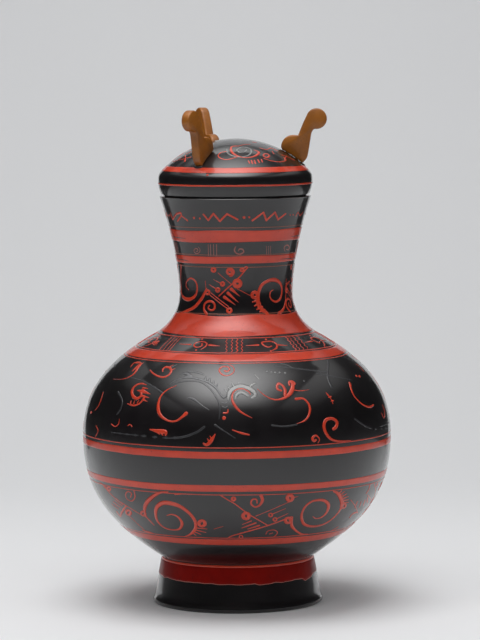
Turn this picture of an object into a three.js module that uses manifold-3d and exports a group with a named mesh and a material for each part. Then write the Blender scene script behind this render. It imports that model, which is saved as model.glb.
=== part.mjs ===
// A turned wooden wine jar under lacquer, with a domed lid that carries three S-shaped bird knobs.
// Millimetres, +Z up, origin at the centre of the foot's resting face. The viewer's side is -Y.
// The vessel is turned in four rings (foot, lower belly, upper belly, neck) that are glued one on the
// next with turned spigots, over a floor disc. The lid is a turned dome with a spigot ring below it.

import * as THREE from "three";
import { mergeVertices } from "three/addons/utils/BufferGeometryUtils.js";
import Module from "manifold-3d";

const wasm = await Module();
wasm.setup();

// Driving dimensions
const FACETS = 40; // flats round each turned piece
const GLUE = 0.3; // radial clearance of a glued or sliding fit

const footHeight = 53.6; // resting face to the shoulder that carries the belly
const footTopRadius = 87.2;
const footFlareHeight = 14; // where the straight cone starts to sweep out
const footFlareRadius = 94.6;
const footLipRadius = 97.6;
const footLipHeight = 4.5; // widest point of the rounded lip
const footRestRadius = 94.2; // outer edge of the resting face
const footRestWidth = 6;
const footBoreRadius = 76.3; // socket for the belly's spigot

const equatorRise = 139; // foot shoulder to the widest point of the belly
const equatorRadius = 176.8;
const bellyStartSlope = 1.5; // radius gained for each unit of height
const bellyStartReach = 67;
const bellyLowerReach = 69;
const bellyUpperReach = 58;

const shoulderRise = 113.6; // widest point to the turn between belly and neck
const shoulderRadius = 98.6;
const shoulderSlope = -1.68;
const shoulderLowerReach = 50;
const shoulderUpperReach = 5;

const waistRise = 50.8; // shoulder to the narrowest point of the neck
const waistRadius = 64.7;
const waistLowerReach = 36;
const waistUpperReach = 33;

const mouthRise = 109.4; // narrowest point to the rim
const mouthRadius = 87;
const mouthSlope = 0.38;
const mouthReach = 23.6;
const rimRounding = 1.2;

const bellyWall = 9;
const neckWall = 8;
const bellyJointDrop = 2.6; // the belly's glued joint lies just under its widest point
const neckJointRise = 16; // the neck's glued joint lies a little above the shoulder
const spigotHeight = 7;
const spigotWall = 4; // thickness of the upstanding half of each joint

const floorThickness = 10;
const floorRadius = 71.6;
const floorLedge = 6; // width of the ledge that the floor disc rests on
const footSpigotDepth = 8;
const floorLedgeHeight = 6; // ledge above the bottom of that spigot

const lidLift = 2.2; // shadow gap between the rim and the lid's skirt
const lidSkirtInset = 2.3; // skirt's lower edge, in from the rim
const lidOverhang = 1.1; // widest point of the lid, out from the rim
const lidWidestRise = 15.5;
const lidShoulderWidth = 5.1; // rounded shoulder between the widest point and the dome
const lidShoulderReach = 6;
const lidDomeRadius = 115.9; // of the sphere
const lidDomeRise = 62.8; // skirt's lower edge to the top of the dome
const lidWall = 10;
const collarInset = 5; // collar's edge, in from the rim
const collarSeat = 3; // depth of the collar in the lid's rebate
const plugDepth = 16; // spigot below the rim
const plugWall = 8.2; // spigot's wall where it leaves the collar
const plugClearance = 0.8;
const plugTaper = 1.2;

const knobTipInset = 6.5; // each knob's outer foot, in from the edge of the dome
const knobThickness = 10.2;
const knobChamfer = 1.1;
const knobAngles = { knob_right: -2, knob_rear: 114, knob_front: 238 }; // degrees from +X
const knobSeat = 0.3; // film of lacquer putty between a knob and the dome

// Stations of a knob's outline: out along the lid's radius and up, from its outer foot
const knobHead = { out: 16.6, up: 50.6, radius: 11.9, start: -1.74, end: 2.62 }; // angles in radians
const knobHeel = { out: 5.6, up: 4.2 }; // control of the curl above the outer foot
const knobBack = { out: 6.6, up: 9.5 };
const knobNeck = { out: 10.4, up: 32.4 }; // top of the straight back
const knobNape = { out: 11.2, up: 37.6 };
const knobChin = { out: 14.6, up: 38.9 };
const knobThroat = { out: -4.6, up: 31.6 };
const knobReach = 22.6; // length of the seat on the dome, from the outer foot to the inner foot

// Stations of the round breast, from the inner foot
const knobCrop = { out: 9.6, up: 18.1 };
const knobChest = { out: 1.2, up: 15.1 };
const knobBreast = { out: -1, up: 6 };
const knobThigh = { out: -2, up: 2.3 };

const pinRadius = 2;
const pinLength = 15;
const pinInLid = 7;
const pinFacets = 12;
const pinPlaces = { outer: -6.5, inner: -17 }; // from the outer foot, along the radius

// Heights that follow from the driving dimensions
const equatorZ = footHeight + equatorRise;
const shoulderZ = equatorZ + shoulderRise;
const waistZ = shoulderZ + waistRise;
const rimZ = waistZ + mouthRise;
const bellyJointZ = equatorZ - bellyJointDrop;
const neckJointZ = shoulderZ + neckJointRise;
const skirtZ = rimZ + lidLift;
const domeTopZ = skirtZ + lidDomeRise;
const domeCentreZ = domeTopZ - lidDomeRadius;

// Radii of the lid that follow from the mouth
const lidWidestRadius = mouthRadius + lidOverhang;
const lidDomeEdge = lidWidestRadius - lidShoulderWidth;
const collarRadius = mouthRadius - collarInset;
const spigotRadius = mouthRadius - neckWall - plugClearance;
const lidBoreRadius = spigotRadius - plugWall;
const knobTipRadius = lidDomeEdge - knobTipInset;

const blackLacquer = new THREE.MeshStandardMaterial({ color: 0x17161a, roughness: 0.28, metalness: 0 });
const ochreLacquer = new THREE.MeshStandardMaterial({ color: 0x8a4c06, roughness: 0.45, metalness: 0 });
const vermilionLacquer = new THREE.MeshStandardMaterial({ color: 0xa8311c, roughness: 0.4, metalness: 0 });
const bamboo = new THREE.MeshStandardMaterial({ color: 0xc8a765, roughness: 0.6, metalness: 0 });

const at = (radius, height) => new THREE.Vector2(radius, height);

// A tangent handle: a step of the given length along a slope of radius over height.
function handle(slope, length) {
  return at(slope, 1).setLength(length);
}

// Points of a cubic arc between two stations, each with its own tangent handle.
function sweep(start, startHandle, end, endHandle, steps) {
  const arc = new THREE.CubicBezierCurve(start, start.clone().add(startHandle), end.clone().sub(endHandle), end);
  return arc.getPoints(steps);
}

// The vessel's outer line from the foot's shoulder to the rim.
function vesselLine(steps) {
  const foot = at(footTopRadius, footHeight);
  const equator = at(equatorRadius, equatorZ);
  const shoulder = at(shoulderRadius, shoulderZ);
  const waist = at(waistRadius, waistZ);
  const mouth = at(mouthRadius, rimZ);
  return [
    ...sweep(foot, handle(bellyStartSlope, bellyStartReach), equator, at(0, bellyLowerReach), steps),
    ...sweep(equator, at(0, bellyUpperReach), shoulder, handle(shoulderSlope, shoulderLowerReach), steps).slice(1),
    ...sweep(shoulder, handle(shoulderSlope, shoulderUpperReach), waist, at(0, waistLowerReach), steps).slice(1),
    ...sweep(waist, at(0, waistUpperReach), mouth, handle(mouthSlope, mouthReach), steps).slice(1),
  ];
}

const fineSteps = 60;
const outerLine = vesselLine(fineSteps);

// The same line moved inwards by the wall, which thins from the belly to the neck.
const innerLine = outerLine.map((point, i) => {
  const before = outerLine[Math.max(i - 1, 0)];
  const after = outerLine[Math.min(i + 1, outerLine.length - 1)];
  const along = after.clone().sub(before).normalize();
  const share = THREE.MathUtils.smoothstep(point.y, equatorZ, waistZ);
  const wall = THREE.MathUtils.lerp(bellyWall, neckWall, share);
  return at(point.x - along.y * wall, point.y + along.x * wall);
});

// Radius of a line at a height, by linear interpolation.
function radiusAt(line, height) {
  const next = Math.max(line.findIndex((point) => point.y >= height), 1);
  const [low, high] = [line[next - 1], line[next]];
  return THREE.MathUtils.mapLinear(height, low.y, high.y, low.x, high.x);
}

// A stretch of a line between two heights, with rows evenly spaced along its length.
function stretch(line, low, high, rows) {
  const inside = line.filter((point) => point.y > low && point.y < high);
  const points = [at(radiusAt(line, low), low), ...inside, at(radiusAt(line, high), high)];
  const route = new THREE.Path();
  route.setFromPoints(points);
  return route.getSpacedPoints(rows);
}

// A piece turned on a lathe: the profile runs anticlockwise in (radius, height) and closes on itself.
function turned(profile) {
  const closed = [...profile, profile[0]];
  const geometry = new THREE.LatheGeometry(closed, FACETS);
  geometry.rotateX(Math.PI / 2);
  return geometry;
}

function solidFrom(geometry) {
  const bare = geometry.clone();
  bare.deleteAttribute("normal");
  bare.deleteAttribute("uv");
  const merged = mergeVertices(bare, 1e-3);
  const mesh = new wasm.Mesh({
    numProp: 3,
    vertProperties: merged.attributes.position.array,
    triVerts: new Uint32Array(merged.index.array),
  });
  return new wasm.Manifold(mesh);
}

function geometryFrom(solid) {
  const { vertProperties, triVerts } = solid.getMesh();
  const geometry = new THREE.BufferGeometry();
  geometry.setAttribute("position", new THREE.BufferAttribute(vertProperties, 3));
  geometry.setIndex(new THREE.BufferAttribute(triVerts, 1));
  geometry.computeVertexNormals();
  return geometry;
}

// Cuts each tool out of a piece.
function drilled(geometry, tools) {
  return geometryFrom(tools.reduce((solid, tool) => solid.subtract(solidFrom(tool)), solidFrom(geometry)));
}

function piece(name, geometry, material) {
  const mesh = new THREE.Mesh(geometry, material);
  mesh.name = name;
  return mesh;
}

// Vessel

function footRing() {
  const restInner = footRestRadius - footRestWidth;
  const lip = new THREE.QuadraticBezierCurve(
    at(footRestRadius, 0), at(footLipRadius, 0), at(footLipRadius, footLipHeight),
  ).getPoints(4);
  const flare = new THREE.QuadraticBezierCurve(
    at(footLipRadius, footLipHeight),
    at(footFlareRadius + 1, footLipHeight + 4),
    at(footFlareRadius, footFlareHeight),
  ).getPoints(3);
  const socketFloor = footHeight - footSpigotDepth;
  return turned([
    at(restInner, 0),
    ...lip,
    ...flare.slice(1),
    at(footTopRadius, footHeight),
    at(footBoreRadius, footHeight),
    at(footBoreRadius, socketFloor),
  ]);
}

const footSpigotRadius = footBoreRadius - GLUE;
const footSpigotZ = footHeight - footSpigotDepth + GLUE;
const ledgeZ = footSpigotZ + floorLedgeHeight;
const rebateRadius = floorRadius + GLUE;

function lowerBelly() {
  const boreRadius = rebateRadius - floorLedge;
  const floorTop = ledgeZ + floorThickness;
  const innerTop = radiusAt(innerLine, bellyJointZ);
  const upstand = innerTop + spigotWall;
  return turned([
    at(boreRadius, footSpigotZ),
    at(footSpigotRadius, footSpigotZ),
    at(footSpigotRadius, footHeight),
    ...stretch(outerLine, footHeight, bellyJointZ, 13),
    at(upstand, bellyJointZ),
    at(upstand, bellyJointZ + spigotHeight),
    ...stretch(innerLine, floorTop, bellyJointZ + spigotHeight, 11).reverse(),
    at(rebateRadius, floorTop),
    at(rebateRadius, ledgeZ),
    at(boreRadius, ledgeZ),
  ]);
}

function upperBelly() {
  const socketRadius = radiusAt(innerLine, bellyJointZ) + spigotWall + GLUE;
  const socketTop = bellyJointZ + spigotHeight + GLUE;
  const innerTop = radiusAt(innerLine, neckJointZ);
  return turned([
    at(socketRadius, bellyJointZ),
    ...stretch(outerLine, bellyJointZ, neckJointZ, 14),
    at(innerTop + spigotWall, neckJointZ),
    at(innerTop + spigotWall, neckJointZ - spigotHeight),
    ...stretch(innerLine, socketTop, neckJointZ - spigotHeight, 11).reverse(),
    at(socketRadius, socketTop),
  ]);
}

function neck() {
  const spigotBottom = neckJointZ - spigotHeight + GLUE;
  const spigotRadius = radiusAt(innerLine, neckJointZ) + spigotWall - GLUE;
  const innerBottom = radiusAt(innerLine, neckJointZ);
  const innerRim = mouthRadius - neckWall;
  const line = stretch(outerLine, neckJointZ, rimZ - rimRounding, 12);
  return turned([
    at(innerBottom, spigotBottom),
    at(spigotRadius, spigotBottom),
    at(spigotRadius, neckJointZ),
    ...line,
    at(mouthRadius - rimRounding, rimZ),
    at(innerRim, rimZ),
    ...stretch(innerLine, neckJointZ, rimZ - plugDepth, 9).reverse(),
  ]);
}

function floorDisc() {
  return turned([
    at(0, ledgeZ),
    at(floorRadius, ledgeZ),
    at(floorRadius, ledgeZ + floorThickness),
    at(0, ledgeZ + floorThickness),
  ]);
}

// Lid

// Points on the dome's section, moved out or in by an offset, between two radii.
function domeArc(offset, fromRadius, toRadius, rows) {
  const sphere = lidDomeRadius + offset;
  const start = Math.asin(fromRadius / sphere);
  const end = Math.asin(toRadius / sphere);
  return Array.from({ length: rows + 1 }, (_, i) => {
    const tilt = THREE.MathUtils.lerp(start, end, i / rows);
    return at(Math.sin(tilt) * sphere, domeCentreZ + Math.cos(tilt) * sphere);
  });
}

function lidDome() {
  const widest = at(lidWidestRadius, skirtZ + lidWidestRise);
  const dome = domeArc(0, lidDomeEdge, 0, 9);
  const fall = dome[0].clone().sub(dome[1]).setLength(lidShoulderReach);
  const shoulder = sweep(widest, at(0, lidShoulderReach), dome[0], fall.negate(), 4);
  const side = new THREE.QuadraticBezierCurve(
    at(mouthRadius - lidSkirtInset, skirtZ), at(lidWidestRadius, skirtZ + lidWidestRise / 2), widest,
  ).getPoints(3);
  const rebateRoof = rimZ + lidLift + collarSeat + GLUE;
  const cavity = domeArc(-lidWall, lidBoreRadius, 0, 7).reverse();
  return turned([
    at(collarRadius + GLUE, skirtZ),
    ...side,
    ...shoulder.slice(1),
    ...dome.slice(1),
    ...cavity,
    at(lidBoreRadius, rebateRoof),
    at(collarRadius + GLUE, rebateRoof),
  ]);
}

// The ring under the lid: its collar sits on the rim and its spigot drops into the mouth.
function lidPlug() {
  const low = rimZ - plugDepth;
  const follow = radiusAt(innerLine, low) - plugClearance;
  return turned([
    at(lidBoreRadius, low),
    at(follow - plugTaper, low),
    at(follow, low + plugTaper),
    at(spigotRadius - plugTaper, rimZ),
    at(collarRadius, rimZ),
    at(collarRadius, skirtZ + collarSeat),
    at(lidBoreRadius, skirtZ + collarSeat),
  ]);
}

// Height of the dome above a radius, moved out by an offset.
function domeHeight(radius, offset = 0) {
  return domeCentreZ + Math.sqrt((lidDomeRadius + offset) ** 2 - radius ** 2);
}

// Outline of a knob in (out along the radius, up) from its outer foot: an S with a round head that
// looks outwards, a straight neck that leans out, and a round breast that faces the lid's middle.
function knobOutline() {
  const { out, up, radius, start, end } = knobHead;
  const xy = (place) => [place.out, place.up];
  const footZ = domeHeight(knobTipRadius, knobSeat);
  const onDome = (share) => {
    const inwards = knobReach * share;
    return [-inwards, domeHeight(knobTipRadius - inwards, knobSeat) - footZ];
  };
  const innerFoot = onDome(1);
  const breast = (place) => [innerFoot[0] + place.out, innerFoot[1] + place.up];
  const outline = new THREE.Shape();
  outline.moveTo(0, 0);
  outline.quadraticCurveTo(...xy(knobHeel), ...xy(knobBack));
  outline.lineTo(...xy(knobNeck));
  outline.quadraticCurveTo(...xy(knobNape), ...xy(knobChin));
  outline.absarc(out, up, radius, start, end, false);
  outline.lineTo(...xy(knobThroat));
  outline.bezierCurveTo(...breast(knobCrop), ...breast(knobChest), ...breast(knobBreast));
  outline.quadraticCurveTo(...breast(knobThigh), ...innerFoot);
  outline.lineTo(...onDome(0.75));
  outline.lineTo(...onDome(0.5));
  outline.lineTo(...onDome(0.25));
  outline.closePath();
  return outline;
}

function knob() {
  const geometry = new THREE.ExtrudeGeometry(knobOutline(), {
    depth: knobThickness - 2 * knobChamfer,
    bevelEnabled: true,
    bevelThickness: knobChamfer,
    bevelSize: knobChamfer,
    bevelOffset: -knobChamfer,
    bevelSegments: 1,
    curveSegments: 7,
  });
  geometry.translate(0, 0, knobChamfer - knobThickness / 2);
  geometry.rotateX(Math.PI / 2);
  return geometry;
}

// A bamboo pin square to the dome, in the knob's own place on the lid.
function pinAt(along, radius, length) {
  const geometry = new THREE.CylinderGeometry(radius, radius, length, pinFacets);
  geometry.rotateX(Math.PI / 2);
  geometry.translate(0, 0, length / 2 - (length - pinLength) / 2 - pinInLid);
  geometry.rotateY(Math.asin((knobTipRadius + along) / lidDomeRadius));
  return geometry.translate(along, 0, domeHeight(knobTipRadius + along) - domeHeight(knobTipRadius, knobSeat));
}

// Where a knob stands: out along its radius, with its outer foot on the dome.
function knobPlace(angle) {
  const turn = new THREE.Matrix4().makeRotationZ(THREE.MathUtils.degToRad(angle));
  return turn.multiply(new THREE.Matrix4().makeTranslation(knobTipRadius, 0, domeHeight(knobTipRadius, knobSeat)));
}

const pinHole = (along) => pinAt(along, pinRadius + GLUE, pinLength + 2 * GLUE);
const pinHoles = () => Object.values(pinPlaces).map(pinHole);

const jar = new THREE.Group();

const vessel = new THREE.Group();
vessel.add(
  piece("foot_ring", footRing(), blackLacquer),
  piece("lower_belly", lowerBelly(), blackLacquer),
  piece("upper_belly", upperBelly(), blackLacquer),
  piece("neck", neck(), blackLacquer),
  piece("floor_disc", floorDisc(), vermilionLacquer),
);

const lid = new THREE.Group();
const lidHoles = Object.values(knobAngles).flatMap((angle) =>
  pinHoles().map((hole) => hole.applyMatrix4(knobPlace(angle))),
);
lid.add(piece("lid_dome", drilled(lidDome(), lidHoles), blackLacquer), piece("lid_plug", lidPlug(), blackLacquer));

for (const [name, angle] of Object.entries(knobAngles)) {
  const place = new THREE.Group();
  place.applyMatrix4(knobPlace(angle));
  place.add(piece(name, drilled(knob(), pinHoles()), ochreLacquer));
  for (const [end, along] of Object.entries(pinPlaces))
    place.add(piece(`${name}_${end}_pin`, pinAt(along, pinRadius, pinLength), bamboo));
  lid.add(place);
}

jar.add(vessel, lid);

export default jar;
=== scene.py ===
# A black lacquered wine jar with painted red cloud scrolls, and its lid with three bird knobs.
import math
from bisect import bisect_left

import bpy
import bmesh
from mathutils import Matrix, Vector


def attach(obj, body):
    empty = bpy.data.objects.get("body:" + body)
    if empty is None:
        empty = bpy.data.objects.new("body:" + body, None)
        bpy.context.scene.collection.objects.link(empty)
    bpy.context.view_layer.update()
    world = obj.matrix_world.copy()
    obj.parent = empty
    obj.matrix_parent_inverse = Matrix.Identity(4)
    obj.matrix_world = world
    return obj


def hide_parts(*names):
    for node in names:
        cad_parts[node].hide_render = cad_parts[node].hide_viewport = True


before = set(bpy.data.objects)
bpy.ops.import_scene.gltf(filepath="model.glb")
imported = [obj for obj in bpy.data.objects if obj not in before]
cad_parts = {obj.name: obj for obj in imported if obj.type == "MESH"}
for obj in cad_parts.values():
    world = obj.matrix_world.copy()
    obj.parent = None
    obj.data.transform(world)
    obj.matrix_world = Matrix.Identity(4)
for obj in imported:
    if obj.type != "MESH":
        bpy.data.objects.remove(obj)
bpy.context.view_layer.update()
MM = 0.001


# Profile of the vessel, in millimetres of radius and height, from the same stations as the solids

FOOT_TOP = (87.2, 53.6)
EQUATOR = (176.8, 192.6)
SHOULDER = (98.6, 306.2)
WAIST = (64.7, 357.0)
MOUTH = (87.0, 466.4)
BELLY_WALL = 9.0
NECK_WALL = 8.0
PAINT = 0.2  # how far the paint stands on the black lacquer
PAINT_SINK = 0.35  # how far a stroke's underside reaches into the black lacquer
LACQUER_INSET = 0.23  # the black wall lies this far inside the solids, so the paint stays inside them
FOOT_BORE = 76.3
FLOOR_TOP = 61.9
SKIRT_Z = 468.6
DOME_RADIUS = 115.9
DOME_TOP = 531.4
KNOB_FOOT_RADIUS = 76.5
KNOB_ANGLES = {"knob_right": -2, "knob_rear": 114, "knob_front": 238}


def handle(slope, length):
    """A step of the given length along a slope of radius over height."""
    return Vector((slope, 1)).normalized() * length


def sweep(start, start_handle, end, end_handle, steps):
    """Points of a cubic arc between two stations, each with its own tangent handle."""
    a, d = Vector(start), Vector(end)
    b, c = a + Vector(start_handle), d - Vector(end_handle)
    points = []
    for i in range(steps + 1):
        t = i / steps
        s = 1 - t
        points.append(a * s**3 + b * 3 * s * s * t + c * 3 * s * t * t + d * t**3)
    return points


def quadratic(a, b, c, steps):
    """Points of a quadratic arc."""
    a, b, c = Vector(a), Vector(b), Vector(c)
    return [a * (1 - i / steps) ** 2 + b * 2 * (1 - i / steps) * (i / steps) + c * (i / steps) ** 2
            for i in range(steps + 1)]


def vessel_line(steps):
    """The vessel's outer line from the foot's shoulder to the rim."""
    line = sweep(FOOT_TOP, handle(1.5, 67), EQUATOR, (0, 69), steps)
    line += sweep(EQUATOR, (0, 58), SHOULDER, handle(-1.68, 50), steps)[1:]
    line += sweep(SHOULDER, handle(-1.68, 5), WAIST, (0, 36), steps)[1:]
    line += sweep(WAIST, (0, 33), MOUTH, handle(0.38, 23.6), steps)[1:]
    return line


def wall_at(height):
    """The vessel's wall thickness, which shrinks from the belly to the neck."""
    share = min(max((height - EQUATOR[1]) / (WAIST[1] - EQUATOR[1]), 0), 1)
    return BELLY_WALL + (NECK_WALL - BELLY_WALL) * share * share * (3 - 2 * share)


def inward(line, depth):
    """The line moved in square to itself, by a depth that may change with height."""
    moved = []
    for i, point in enumerate(line):
        run = (line[min(i + 1, len(line) - 1)] - line[max(i - 1, 0)]).normalized()
        moved.append(point + Vector((-run.y, run.x)) * depth(point.y))
    return moved


def dome_arc(sphere, from_radius, to_radius, steps):
    """Points on a sphere about the dome's centre, between two radii."""
    start, end = math.asin(from_radius / sphere), math.asin(to_radius / sphere)
    tilts = [start + (end - start) * i / steps for i in range(steps + 1)]
    centre = DOME_TOP - DOME_RADIUS
    return [Vector((math.sin(t) * sphere, centre + math.cos(t) * sphere)) for t in tilts]


def dome_height(radius, offset=0.0):
    return DOME_TOP - DOME_RADIUS + math.sqrt((DOME_RADIUS + offset) ** 2 - radius**2)


TURNED_LINE = vessel_line(48)
OUTER = inward(TURNED_LINE, lambda height: LACQUER_INSET)
INNER = inward(TURNED_LINE, wall_at)


# Node trees

class Tree:
    """A small helper that adds nodes and joins sockets by name."""

    def __init__(self, tree):
        self.tree = tree

    def add(self, kind, settings=None, **inputs):
        node = self.tree.nodes.new(kind)
        for key, value in (settings or {}).items():
            setattr(node, key, value)
        for key, value in inputs.items():
            self.set(node, key.replace("_", " "), value)
        return node

    def set(self, node, name, value):
        socket = node.inputs[name]
        if isinstance(value, bpy.types.NodeSocket):
            self.tree.links.new(value, socket)
        else:
            socket.default_value = value

    def math(self, operation, *values):
        node = self.tree.nodes.new("ShaderNodeMath")
        node.operation = operation
        for i, value in enumerate(values):
            self.set(node, i, value)
        return node.outputs[0]

    def vector(self, operation, *values):
        node = self.tree.nodes.new("ShaderNodeVectorMath")
        node.operation = operation
        for i, value in enumerate(values):
            self.set(node, "Scale" if operation == "SCALE" and i == 1 else i, value)
        return node.outputs["Value" if operation in ("DOT_PRODUCT", "LENGTH") else "Vector"]

    def combine(self, x, y, z):
        node = self.tree.nodes.new("ShaderNodeCombineXYZ")
        for name, value in zip("XYZ", (x, y, z)):
            self.set(node, name, value)
        return node.outputs[0]

    def split(self, value):
        node = self.tree.nodes.new("ShaderNodeSeparateXYZ")
        self.set(node, 0, value)
        return node.outputs


def geometry_tree(name, inputs):
    """A new geometry tree with a geometry input, named inputs and a geometry output."""
    tree = bpy.data.node_groups.new(name, "GeometryNodeTree")
    tree.interface.new_socket("Geometry", in_out="INPUT", socket_type="NodeSocketGeometry")
    for label, (kind, value) in inputs.items():
        socket = tree.interface.new_socket(label, in_out="INPUT", socket_type="NodeSocket" + kind)
        if value is not None:
            socket.default_value = value
    tree.interface.new_socket("Geometry", in_out="OUTPUT", socket_type="NodeSocketGeometry")
    t = Tree(tree)
    return t, t.add("NodeGroupInput"), t.add("NodeGroupOutput")


def turned_tree():
    """Turns a profile round the jar's axis. Inputs: how many points, how many facets, where the
    second finish starts."""
    t, given, made = geometry_tree("turned on the lathe", {
        "Points": ("Int", 10), "Facets": ("Int", 192), "Inside From": ("Int", 9999),
        "Outside": ("Material", None), "Inside": ("Material", None)})
    rows = given.outputs["Points"]
    width = t.math("SUBTRACT", rows, 1.0)
    grid = t.add("GeometryNodeMeshGrid", Size_X=width, Size_Y=1.0, Vertices_X=rows,
                 Vertices_Y=t.math("ADD", given.outputs["Facets"], 1.0))
    place = t.split(t.add("GeometryNodeInputPosition").outputs[0])
    column = t.math("ROUND", t.math("ADD", place["X"], t.math("DIVIDE", width, 2.0)))
    angle = t.math("MULTIPLY", t.math("ADD", place["Y"], 0.5), math.tau)
    profile = t.add("GeometryNodeSampleIndex", {"data_type": "FLOAT_VECTOR"}, Index=column,
                    Geometry=given.outputs["Geometry"], Value=t.add("GeometryNodeInputPosition").outputs[0])
    spun = t.add("ShaderNodeVectorRotate", {"rotation_type": "Z_AXIS"}, Vector=profile.outputs[0],
                 Angle=angle)
    shaped = t.add("GeometryNodeSetPosition", Geometry=grid.outputs["Mesh"], Position=spun.outputs[0])
    # the finish is chosen per face before the rows are moved, from the flat grid's own columns
    outside = t.add("GeometryNodeSetMaterial", Geometry=grid.outputs["Mesh"],
                    Material=given.outputs["Outside"])
    first_inside = t.math("SUBTRACT", given.outputs["Inside From"], 0.2)
    inside = t.add("GeometryNodeSetMaterial", Geometry=outside.outputs[0], Material=given.outputs["Inside"],
                   Selection=t.math("GREATER_THAN", column, first_inside))
    t.set(shaped, "Geometry", inside.outputs[0])
    joined = t.add("GeometryNodeMergeByDistance", Geometry=shaped.outputs[0], Distance=2e-6)
    smooth = t.add("GeometryNodeSetShadeSmooth", Geometry=joined.outputs[0])
    real = t.add("GeometryNodeRealizeInstances", Geometry=smooth.outputs[0])
    t.set(made, "Geometry", real.outputs[0])
    return t.tree


def painted_tree():
    """Lays brush strokes on a turned wall. A stroke is drawn flat: x runs round the wall at the
    reference radius, y runs up along the wall's line, and its radius is half its width."""
    t, given, made = geometry_tree("paint on a turned wall", {
        "Wall": ("Object", None), "Reference Radius": ("Float", 0.1), "Thickness": ("Float", 0.0002),
        "Sink": ("Float", 0.0003), "Across": ("Int", 8), "Wobble": ("Float", 0.0003),
        "Wobble Scale": ("Float", 60.0), "Seed": ("Float", 0.0), "Paint": ("Material", None)})
    ring = t.add("GeometryNodeCurvePrimitiveCircle", Resolution=given.outputs["Across"], Radius=1.0)
    side = t.split(t.add("GeometryNodeInputPosition").outputs[0])["Y"]
    section = t.add("GeometryNodeStoreNamedAttribute", {"data_type": "FLOAT", "domain": "POINT"},
                    Geometry=ring.outputs[0], Name="lift", Value=t.math("MULTIPLY", side, -1.0))
    noise = t.add("ShaderNodeTexNoise", {"noise_dimensions": "4D"}, Scale=given.outputs["Wobble Scale"],
                  W=given.outputs["Seed"], Detail=2.0,
                  Vector=t.add("GeometryNodeInputPosition").outputs[0])
    shake = t.vector("SCALE", t.vector("SUBTRACT", noise.outputs["Color"], (0.5, 0.5, 0.5)),
                     t.math("MULTIPLY", given.outputs["Wobble"], 2.0))
    loose = t.add("GeometryNodeSetPosition", Geometry=given.outputs["Geometry"],
                  Offset=t.vector("MULTIPLY", shake, (1.0, 1.0, 0.0)))
    width = t.add("GeometryNodeInputRadius").outputs[0]
    swept = t.add("GeometryNodeCurveToMesh", Curve=loose.outputs[0], Profile_Curve=section.outputs[0],
                  Scale=width, Fill_Caps=True)
    flat = t.split(t.add("GeometryNodeInputPosition").outputs[0])
    wall = t.add("GeometryNodeObjectInfo", Object=given.outputs["Wall"])
    line = t.add("GeometryNodeMeshToCurve", Mesh=wall.outputs["Geometry"])
    sample = t.add("GeometryNodeSampleCurve", {"mode": "LENGTH", "use_all_curves": True},
                   Curves=line.outputs[0], Length=flat["Y"])
    tangent = t.split(sample.outputs["Tangent"])
    normal = t.combine(tangent["Z"], 0.0, t.math("MULTIPLY", tangent["X"], -1.0))
    share = t.add("GeometryNodeInputNamedAttribute", {"data_type": "FLOAT"}, Name="lift").outputs[0]
    up = t.math("MINIMUM", t.math("MULTIPLY", share, 2.2), 1.0)
    proud = t.math("MULTIPLY", t.math("MAXIMUM", up, 0.0), given.outputs["Thickness"])
    sunk = t.math("MULTIPLY", t.math("MAXIMUM", t.math("MULTIPLY", up, -1.0), 0.0), given.outputs["Sink"])
    lift = t.math("SUBTRACT", proud, sunk)
    on_wall = t.vector("ADD", sample.outputs["Position"], t.vector("SCALE", normal, lift))
    angle = t.math("DIVIDE", flat["X"], given.outputs["Reference Radius"])
    spun = t.add("ShaderNodeVectorRotate", {"rotation_type": "Z_AXIS"}, Vector=on_wall, Angle=angle)
    laid = t.add("GeometryNodeSetPosition", Geometry=swept.outputs[0], Position=spun.outputs[0])
    smooth = t.add("GeometryNodeSetShadeSmooth", Geometry=laid.outputs[0])
    real = t.add("GeometryNodeRealizeInstances", Geometry=smooth.outputs[0])
    painted = t.add("GeometryNodeSetMaterial", Geometry=real.outputs[0], Material=given.outputs["Paint"])
    t.set(made, "Geometry", painted.outputs[0])
    return t.tree


def run_tree(data, name, tree, **values):
    """Runs a tree on a mesh or curve and returns its result as a plain mesh object."""
    source = bpy.data.objects.new(name + "_source", data)
    bpy.context.collection.objects.link(source)
    modifier = source.modifiers.new(name, "NODES")
    modifier.node_group = tree
    sockets = {item.name: item.identifier for item in tree.interface.items_tree if item.in_out == "INPUT"}
    for key, value in values.items():
        modifier[sockets[key.replace("_", " ")]] = value
    source.update_tag()
    bpy.context.view_layer.update()
    mesh = bpy.data.meshes.new_from_object(source.evaluated_get(bpy.context.evaluated_depsgraph_get()))
    source.modifiers.clear()
    bpy.data.objects.remove(source)
    mesh.name = name
    made = bpy.data.objects.new(name, mesh)
    bpy.context.collection.objects.link(made)
    return made


TURNED = turned_tree()
PAINTED = painted_tree()


# Finishes

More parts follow.
